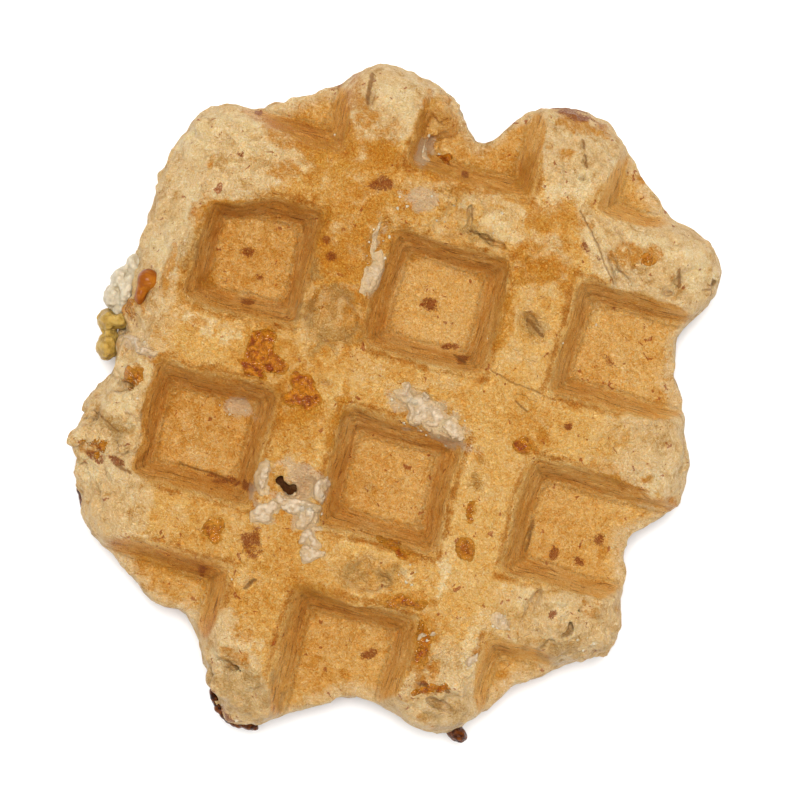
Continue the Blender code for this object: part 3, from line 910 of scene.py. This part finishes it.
    relief = total(0.0, (grain, 0.35), (fibres, 1.0), (crumb, 1.1), (crack, -0.6))
    bump = add("Bump", {"Height": relief, "Strength": 1.0, "Distance": 0.34 * MM})
    wet = add("Math", {0: orange, 1: glassy}, operation="MAXIMUM")
    rough = add("MapRange", {0: wet, 3: 0.52, 4: 0.30})
    shader = add("BsdfPrincipled", {
        "Base Color": skin, "Roughness": rough, "Normal": bump, "IOR": 1.4,
        "Specular IOR Level": 0.16, "Subsurface Weight": 0.15, "Subsurface Radius": (1.0, 0.5, 0.2),
        "Subsurface Scale": 1.0 * MM,
    })
    add("OutputMaterial", {"Surface": shader})
    return material


crust.data.materials.clear()
crust.data.materials.append(crust_material())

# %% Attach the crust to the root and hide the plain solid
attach(crust, "root")
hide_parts("waffle")

# %% [markdown]
# ## Caramel and melted sugar
# A film of sugar hugs the crust below it, so it is cut from the same field: it is the layer between a
# little below the surface and a varying height above it. Where the height would be negative there is no
# film, so its edge thins out by itself. Caramel wrinkles as it sets, and white sugar stays lumpy.

# %% Films of sugar
CARAMEL_FILMS = (  # thickness, x, y, z, half length, half width, turn
    (0.42, -20.2, 5.7, 25, 1.6, 1.6), (0.42, -19.3, 3.5, 25, 3.1, 1.6, -5),
    (0.42, -20.8, 1.6, 25, 2.3, 0.9, -15), (0.42, -13.4, 1.6, 25, 1.7, 1.3),
    (0.42, -12.6, -0.5, 25, 2.5, 1.6, 10), (0.14, -20.4, -23.4, 25.2, 1, 1.9, 8),
    (0.18, 6.4, -18.7, 23.6, 2.6, 0.7, -16), (0.14, 9.8, -25.9, 24.4, 2.9, 1.1, 8),
    (0.16, 13.7, -31.2, 22.6, 1.1, 3, 12), (0.3, 13.9, -33.2, 22.8, 0.6, 1.8, 14),
    (0.22, 16.8, -37.5, 22.6, 2.7, 0.8, 12), (0.1, 15.3, -10.6, 25, 0.9, 1.4),
    (0.12, 16.2, -16.2, 25, 1.2, 1.7), (0.22, 20.6, 0.8, 25.2, 1.5, 1.1, 35),
    (0.1, 31.6, 32.6, 24.8, 0.9, 0.6, 15), (0.14, -40.6, -15.4, 23.2, 1.5, 1.1, -10),
    (0.12, -37.6, -3.6, 23.6, 1.1, 1.6), (0.34, -1.3, 39.3, 15.4, 0.9, 0.8),
    (0.12, -41, 5, 23, 1.6, 1.6),
)
SUGAR_FILMS = (  # the same
    (0.4, 2.6, 3.6, 25, 2, 1.3, -22), (0.46, 5.6, 2, 24.6, 3.4, 2.1, -22),
    (0.34, 10.2, 0.2, 23.8, 2.2, 1.2, -20), (0.4, -14.8, -13.6, 25.2, 0.9, 2),
    (0.46, -13.8, -18.2, 25.2, 1.9, 1.4, 50), (0.46, -9.6, -16.3, 25.2, 3.4, 1.2, -2),
    (0.46, -7.7, -17.6, 25.2, 1.4, 1.9), (0.34, -6.5, -13.1, 25, 1, 1.9),
    (0.36, -6.2, -20.6, 25.2, 1.3, 1.2, -10), (0.34, -5.6, -22.8, 25, 1.2, 1, 20),
    (0.24, 24.6, -25.2, 24.2, 1.5, 0.8, -20), (0.36, -38.4, 0.8, 23, 3, 0.6, -16),
    (0.4, 13.7, -30.1, 24, 0.5, 0.4), (0.4, 14.7, -29.2, 24.4, 0.4, 0.4),
    (0.36, 21.8, -31.4, 24, 0.5, 0.9), (0.13, -7.9, 24.6, 24.2, 0.6, 2.6, -6),
    (0.17, -7.3, 19.8, 24.2, 1.2, 2.8), (0.12, -4.4, 39.4, 15.6, 0.8, 1.7),
)
FILM_STEP = 0.22
FILM_BAND = 1.5  # how far from the crust a film is worked out
EMBEDDED = 0.35  # how far a film reaches below the crust's surface
GLAZE_SHARE = 0.35  # how thick clear caramel lies, as a share of white sugar
RAGGED = 1.35  # how far a film's bent outline may pass its ellipse
OUTSIDE = -1.0  # a height that leaves no film


def pebbles(x, y, z, size, seed):
    """Rounded grains that lie side by side: 1 in the middle of each, 0 between them."""
    rng = np.random.default_rng(seed)
    shuffle = rng.permutation(256)
    middles = rng.uniform(0.1, 0.9, (256, 3)).astype(np.float32)
    scaled = [part / size for part in (x, y, z)]
    nearest = 9.0
    for step in np.ndindex(3, 3, 3):
        cells = [np.floor(part).astype(int) + one - 1 for part, one in zip(scaled, step)]
        spot = 0
        for cell in cells:
            spot = shuffle[(spot + cell) & 255]
        away = sum((scaled[i] - cells[i] - middles[spot, i]) ** 2 for i in range(3))
        nearest = np.minimum(nearest, away)
    return 1 - np.minimum(nearest / 0.55, 1)


def bend(x, y, z, seed):
    """Moves places sideways by up to a millimetre or so, which makes a film's outline ragged."""
    return [along + 1.1 * noise(x, y, z, 2.6, seed + i) + 0.25 * noise(x, y, z, 1.2, seed + 8 + i)
            for i, along in enumerate((x, y))]


def sugar_film(name, films, lump_size, lump_height, grainy, seed):
    """One closed mesh of many films that follow the crust below them."""
    vertices, quads, rich_and_grain_highlight, count = [], [], [], 0
    thickest = max(film[0] for film in films)
    for thickness, x, y, z, half_length, half_width, *turn in films:
        reach = max(half_length, half_width) * 1.25 + 1.0
        tall = 2.2 + 0.55 * reach
        block = [np.arange(middle - half, middle + half, FILM_STEP, dtype=np.float32)
                 for middle, half in ((x, reach), (y, reach), (z, tall))]
        field = sampled_field(block)
        parts = np.meshgrid(*block, indexing="ij")
        near = np.abs(field) < FILM_BAND
        far_x, far_y, far_z = (part[near] for part in parts)
        bent_x, bent_y = bend(far_x, far_y, far_z, seed)
        wide = (x, y, half_length * RAGGED, half_width * RAGGED, *turn)
        mask = soft_ellipse(bent_x, bent_y, *wide)
        lumps = 1.4 * np.abs(noise(far_x, far_y, far_z, lump_size, seed + 2)) - 0.5
        lumps = lumps + 0.5 * noise(far_x, far_y, far_z, lump_size / 2, seed + 3)
        if grainy:
            lumps = 1.6 * pebbles(far_x, far_y, far_z, lump_size, seed + 4) - 0.8 + 0.25 * lumps
        lumps = lumps * lump_height * thickness / thickest
        raised = thickness * (1.5 * smooth_step(mask, 0.05, 0.7) - 0.25) + lumps * (mask > 0.05)
        height = np.full(field.shape, OUTSIDE, np.float32)
        height[near] = np.where(mask > 0.03, raised, OUTSIDE)
        film = np.maximum(field - height, -(field + EMBEDDED))
        for axis in range(3):
            np.moveaxis(film, axis, 0)[[0, -1]] = 1.0
        found, faces = surface_net(film, np.array([axis[0] for axis in block]), FILM_STEP)
        vertices.append(found)
        quads.append(faces + count)
        # on white sugar the tops of the grains are painted lighter and the gaps darker: painted highlight
        # and shade
        grains = 0.5 + 0.7 * pebbles(*found.T, lump_size, seed + 4) if grainy else 1.0
        rich_and_grain_highlight.append(soft_ellipse(*bend(*found.T, seed), *wide) * grains * math.sqrt(thickness / thickest))
        count += len(found)
    made = mesh_object(name, np.concatenate(vertices), np.concatenate(quads))
    store(made, "rich_and_grain_highlight", "FLOAT", np.concatenate(rich_and_grain_highlight))
    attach(made, "root")
    print(name, len(films), "films,", 2 * len(made.data.polygons), "triangles")
    return made


glaze = [(film[0] * GLAZE_SHARE, *film[1:]) for film in CARAMEL_FILMS]
caramel = sugar_film("caramel_glaze", glaze, 1.8, 0.06, False, 51)
melted = sugar_film("melted_sugar", SUGAR_FILMS, 0.8, 0.36, True, 61)

# %% [markdown]
# Caramel is clear and amber, so it is darker where it is thick, and its wrinkles catch the light. White
# sugar is milky: light enters it and comes out again a little further on.

# %% Caramel and white sugar materials


def sugar_surface(name, hexes, sizes, lift, roughness, distance, gloss, weight):
    """Sugar of any kind.

    `hexes` are the colours of its edge, its light and its dark parts. `sizes` are the scale and detail of
    its clouds and its folds, `lift` paints the tops of its grains and a film's thick middle lighter,
    which on the grains is a painted highlight with painted shade between them, `distance` is the height
    of its folds in mm, and `weight` is how milky it is.
    """
    edge, light, dark = hexes
    material, add, place = new_material(name)
    rich_and_grain_highlight = add("Attribute", attribute_name="rich_and_grain_highlight")
    cloud, folds = (add("TexNoise", {
        "Vector": place, "Scale": size, "Detail": detail, "Roughness": 0.6, "Distortion": 1.4})
        for size, detail in sizes)
    # the grain tops come out lighter than the gaps between them: a painted highlight and painted shade
    lifted = add("Math", {0: rich_and_grain_highlight.outputs["Fac"], 1: lift, 2: cloud}, operation="MULTIPLY_ADD")
    tint = add("MapRange", {0: lifted, 1: 0.40 + 0.5 * lift, 2: 0.60 + 0.9 * lift})
    base = add("Mix", {0: tint, 6: colour(dark), 7: colour(light)}, data_type="RGBA")
    ragged = add("Math", {0: folds, 1: 0.5, 2: rich_and_grain_highlight.outputs["Fac"]}, operation="MULTIPLY_ADD")
    inner = add("MapRange", {0: ragged, 1: 0.55, 2: 0.90})
    base = add("Mix", {0: inner, 6: colour(edge), 7: base.outputs[2]}, data_type="RGBA")
    bump = add("Bump", {"Height": folds, "Strength": 1.0, "Distance": distance * MM})
    shader = add("BsdfPrincipled", {
        "Base Color": base.outputs[2], "Roughness": roughness, "IOR": 1.45, "Normal": bump,
        "Specular IOR Level": gloss, "Subsurface Weight": weight, "Subsurface Radius": (1.0, 0.6, 0.35),
        "Subsurface Scale": 0.8 * MM,
    })
    add("OutputMaterial", {"Surface": shader})
    return material


def sugar_material(name, *hexes):
    return sugar_surface(name, hexes, sizes=((0.5, 3.0), (2.2, 4.0)), lift=1.0, roughness=0.30,
                         distance=0.40, gloss=0.4, weight=0.25)


caramel.data.materials.append(sugar_surface(
    "caramelised sugar", ("a86c18", "b46c0a", "823800"), sizes=((0.6, 4.0), (1.3, 2.0)), lift=0.0,
    roughness=0.08, distance=1.1, gloss=0.40, weight=0.0))
melted.data.materials.append(sugar_material("melted white sugar", "c0a278", "cab496", "b29672"))

# %% [markdown]
# ## Whole pearls
# Some pearls never melted. They are built as ellipsoids of the same kind as the dough's lumps: a fat
# amber one on ridge B2, white and yellow ones that stuck to the left edge, and a dark drop of caramel
# that ran out at the lower end of ridge A2.

# %% Pearls of sugar
# each row is x, y, z, half length, half width, half height, turn
AMBER_PEARL = ((-39.2, 10.3, 22.6, 1.6, 1.7, 1.8), (-39.7, 8.2, 22.2, 0.9, 1.8, 1.5))
WHITE_PEARLS = (
    (-42.3, 12.2, 15, 1.1, 1.5, 3), (-43.6, 9.4, 15, 1.4, 1.9, 3.8), (-43.9, 6.8, 14, 1.6, 1.9, 4),
    (-42, 8, 17, 1.2, 2.4, 2.4), (-41.4, 11, 15, 1.2, 2.2, 3), (-42.4, 5.2, 14, 1.4, 1.3, 3.2),
)
YELLOW_PEARLS = (
    (-43.9, 3, 13, 1.7, 1.7, 4), (-43, -0.6, 12.4, 1.7, 2.3, 4), (-42, 3.6, 15, 1.2, 1.3, 2.4),
)
CARAMEL_DROP = ((22.7, -43.9, 9, 1.5, 1.1, 1.8, -10), (21.7, -42.8, 9.2, 1.3, 1.2, 1.5))
BURNT_RIM = (
    (-8.3, -50.5, 9, 1.8, 0.8, 1.6, -2), (-11.4, -50.2, 8.6, 2.3, 0.8, 1.4, -24),
    (-13.7, -48.3, 8.4, 2, 0.6, 1.3, -47),
)
BURNT_EDGE = ((-40.3, -24.9, 9, 1.9, 0.7, 1.8, -56), (-41.6, -22.8, 9, 1.2, 0.5, 1.4, -64))
PEARL_BLEND = 0.8  # how widely two ellipsoids run into each other
PEBBLE = 1.1  # size of the bumps on a pearl


def pearl_object(name, shapes, roughly, step, seed):
    """One closed mesh of ellipsoids that run into each other, from a net with cells of size `step`."""
    low = [min(shape[i] - max(shape[3:6]) for shape in shapes) - 1.0 for i in range(3)]
    high = [max(shape[i] + max(shape[3:6]) for shape in shapes) + 1.0 for i in range(3)]
    block = [np.arange(a, b, step, dtype=np.float32) for a, b in zip(low, high)]
    parts = np.meshgrid(*block, indexing="ij")
    field = None
    for shape in shapes:
        one = ellipsoid(*parts, *shape)
        field = one if field is None else smooth_min(field, one, PEARL_BLEND)
    bumps = 0.6 * noise(*parts, 2 * PEBBLE, seed) + 2.0 * pebbles(*parts, PEBBLE, seed + 1) - 1.0
    field = np.maximum(field - roughly * bumps, 0.3 - parts[2])
    vertices, quads = surface_net(field, np.array(low), step)
    made = mesh_object(name, vertices, quads)
    # where the material lightens grains, their tops are painted lighter and the gaps darker: painted
    # highlight and shade
    store(made, "rich_and_grain_highlight", "FLOAT", 0.5 + 0.7 * pebbles(*vertices.T, PEBBLE, seed + 1))
    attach(made, "root")
    print(name, 2 * len(made.data.polygons), "triangles")
    return made


amber_sugar = sugar_surface(
    "amber sugar pearl", ("98560e", "9e5e16", "84440a"), sizes=((0.5, 3.0), (0.9, 1.0)), lift=0.0,
    roughness=0.28, distance=0.2, gloss=0.16, weight=0.0)
white_sugar = sugar_material("white sugar pearl", "b8a47e", "cec0a4", "b4a282")
yellow_sugar = sugar_material("yellowed sugar pearl", "a67e2e", "bc9848", "94701f")
burnt_caramel = sugar_surface(
    "burnt caramel", ("4c2206", "6c3608", "280c02"), sizes=((0.8, 3.0), (1.1, 1.0)), lift=0.0,
    roughness=0.25, distance=0.3, gloss=0.16, weight=0.0)
for name, shapes, roughly, step, seed, finish in (
    ("amber_pearl", AMBER_PEARL, 0.05, 0.18, 71, amber_sugar),
    ("white_pearls", WHITE_PEARLS, 0.17, 0.25, 73, white_sugar),
    ("yellow_pearls", YELLOW_PEARLS, 0.17, 0.25, 75, yellow_sugar),
    ("caramel_drop", CARAMEL_DROP, 0.10, 0.2, 77, burnt_caramel),
    ("burnt_rim", BURNT_RIM, 0.15, 0.22, 79, burnt_caramel),
    ("burnt_edge", BURNT_EDGE, 0.15, 0.22, 83, burnt_caramel),
):
    pearl_object(name, shapes, roughly, step, seed).data.materials.append(finish)

# %% [markdown]
# ## Grains of sugar
# Small clear crystals lie wherever sugar was spilt or melted. They follow the surface and repeat, which
# is what Geometry Nodes are for: points are scattered over a copy of the crust, more of them where a
# density attribute is high, and each gets a small crystal, turned and sized at random.

# %% Scatter tree
FULL_TURN = 6.3  # radians


def scatter_tree():
    tree = bpy.data.node_groups.new("scatter grains", "GeometryNodeTree")
    for name, kind in (
        ("Surface", "Geometry"), ("Grain", "Object"), ("Per square metre", "Float"),
        ("Smallest", "Float"), ("Largest", "Float"), ("Seed", "Int"), ("Finish", "Material"),
    ):
        tree.interface.new_socket(name, in_out="INPUT", socket_type="NodeSocket" + kind)
    tree.interface.new_socket("Grains", in_out="OUTPUT", socket_type="NodeSocketGeometry")
    add = partial(add_node, tree)
    given = add("NodeGroupInput").outputs
    mask = add("GeometryNodeInputNamedAttribute", {"Name": "grain_density"}, data_type="FLOAT")
    density = add("Math", {0: mask, 1: given["Per square metre"]}, operation="MULTIPLY")
    spots = add("GeometryNodeDistributePointsOnFaces", {
        "Mesh": given["Surface"], "Density": density, "Seed": given["Seed"]})
    turn = add("FunctionNodeRandomValue", {
        0: (0, 0, 0), 1: (FULL_TURN, FULL_TURN, FULL_TURN), "Seed": given["Seed"],
    }, data_type="FLOAT_VECTOR")
    size = add("FunctionNodeRandomValue", {
        2: given["Smallest"], 3: given["Largest"], "Seed": given["Seed"]}, data_type="FLOAT")
    grain = add("GeometryNodeObjectInfo", {"Object": given["Grain"]})
    placed = add("GeometryNodeInstanceOnPoints", {
        "Points": spots.outputs["Points"], "Instance": grain.outputs["Geometry"],
        "Rotation": turn, "Scale": size.outputs[1]})
    real = add("GeometryNodeRealizeInstances", {0: placed})
    coated = add("GeometryNodeSetMaterial", {"Geometry": real, "Material": given["Finish"]})
    add("NodeGroupOutput", {"Grains": coated})
    return tree


# %% Scatter the grains
CRYSTAL_FACES = ((0, 1, 3, 2), (4, 6, 7, 5), (0, 4, 5, 1), (2, 3, 7, 6), (0, 2, 6, 4), (1, 5, 7, 3))


def crystal():
    """A blocky crystal about 2 units across, as the shape that is scattered."""
    rng = np.random.default_rng(81)
    corners = np.array([(a, b, c) for a in (-1, 1) for b in (-0.8, 0.8) for c in (-0.7, 0.7)], float)
    made = mesh_object("crystal", (corners + rng.uniform(-0.25, 0.25, corners.shape)) / MM,
                       CRYSTAL_FACES)
    apply_modifier(made, "BEVEL", {"width": 0.3, "segments": 1})
    return made


def scatter(name, tree, shape, settings):
    """Runs the scatter tree on a copy of the crust and keeps only the grains."""
    made = bpy.data.objects.new(name, crust.data.copy())
    bpy.context.scene.collection.objects.link(made)
    modifier = made.modifiers.new("scatter", "NODES")
    modifier.node_group = tree
    sockets = {item.name: item.identifier for item in tree.interface.items_tree
               if item.in_out == "INPUT"}
    modifier[sockets["Grain"]] = shape
    for setting, value in settings.items():
        modifier[sockets[setting]] = value
    keep_result(made)
    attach(made, "root")
    print(name, len(made.data.polygons), "faces")
    return made


GRAIN_PLACES = (  # x, y, half length, half width, turn
    (-2.6, 31.8, 5.5, 4), (6, 1, 8.5, 3.6, -14), (-9.6, -18.6, 5, 2.6), (-6.5, -20, 3, 4),
    (24.6, -25, 2.6, 2), (14, -30.2, 2, 2.4), (21.4, -31, 1.6, 2.6), (25, -20.1, 1.2, 1),
    (37.4, -25.3, 2.4, 1.2), (-7.5, 22.5, 2.4, 7), (-38.4, 0.6, 3.6, 1.2, -16), (7.6, 31.2, 3, 2.4),
    (-4.2, 39.5, 2, 3), (-22.2, -4.8, 3, 1.8), (9.5, -22, 3, 3),
)
STRAY_GRAINS = 0.003  # density away from any spilt sugar, as a share of the highest
GRAINS_PER_SQUARE_METRE = 300000.0
density = STRAY_GRAINS + 0 * px
for place in GRAIN_PLACES:
    density = np.maximum(density, soft_ellipse(px, py, *place))
density = density * smooth_step(pz, 13.0, 15.0)
store(crust, "grain_density", "FLOAT", density)
tree = scatter_tree()
shape = crystal()
clear_sugar = sugar_material("sugar crystal", "ccbb9c", "d4c6a8", "bba684")
grains = scatter("sugar_grains", tree, shape, {
    "Per square metre": GRAINS_PER_SQUARE_METRE, "Smallest": 0.08 * MM, "Largest": 0.26 * MM, "Seed": 5,
    "Finish": clear_sugar})
bpy.data.objects.remove(shape)

# %% [markdown]
# ## Camera, light and floor
# The camera looks straight down, a little turned against the ridges. A soft lamp hangs almost overhead
# and a white surround fills the shadows, over a white table.

# %% Camera, light and floor
TURN = math.radians(14.8)  # of the camera against the ridges
CAMERA_HEIGHT = 0.75  # this and all below in metres, but for the table
FRAME_WIDTH = 0.120  # how wide the view is at the waffle
AIM = (0.00142, 0.00265)
TABLE_HALF = 3000
TABLE_WHITE = (0.95, 0.95, 0.95, 1)
LAMP_PLACE = (-0.03, 0.12, 1.2)
LAMP_SIZE = 0.35
LAMP_POWER = 17
SURROUND_STRENGTH = 0.62

camera = bpy.data.objects.new("camera", bpy.data.cameras.new("camera"))
bpy.context.scene.collection.objects.link(camera)
bpy.context.scene.camera = camera
camera.location = (*AIM, waffle_high.z * MM / 2 + CAMERA_HEIGHT)
camera.rotation_euler = (0, 0, TURN)
camera.data.lens = camera.data.sensor_width * CAMERA_HEIGHT / FRAME_WIDTH
corners = [(a * TABLE_HALF, b * TABLE_HALF, 0) for a, b in ((-1, -1), (1, -1), (1, 1), (-1, 1))]
table = mesh_object("table_top", corners, [(0, 1, 2, 3)])
white = bpy.data.materials.new("white table")
white.use_nodes = True
white.node_tree.nodes["Principled BSDF"].inputs["Base Color"].default_value = TABLE_WHITE
white.node_tree.nodes["Principled BSDF"].inputs["Roughness"].default_value = 0.8
table.data.materials.append(white)
lamp = bpy.data.objects.new("softbox", bpy.data.lights.new("softbox", "AREA"))
bpy.context.scene.collection.objects.link(lamp)
lamp.location = LAMP_PLACE
lamp.data.size = LAMP_SIZE
lamp.data.energy = LAMP_POWER
lamp.rotation_euler = (Vector((0, 0, 0)) - lamp.location).to_track_quat("-Z", "Y").to_euler()
world = bpy.data.worlds.new("studio")
bpy.context.scene.world = world
world.use_nodes = True
world.node_tree.nodes["Background"].inputs["Color"].default_value = (1, 1, 1, 1)
world.node_tree.nodes["Background"].inputs["Strength"].default_value = SURROUND_STRENGTH
bpy.context.scene.view_settings.view_transform = "Standard"
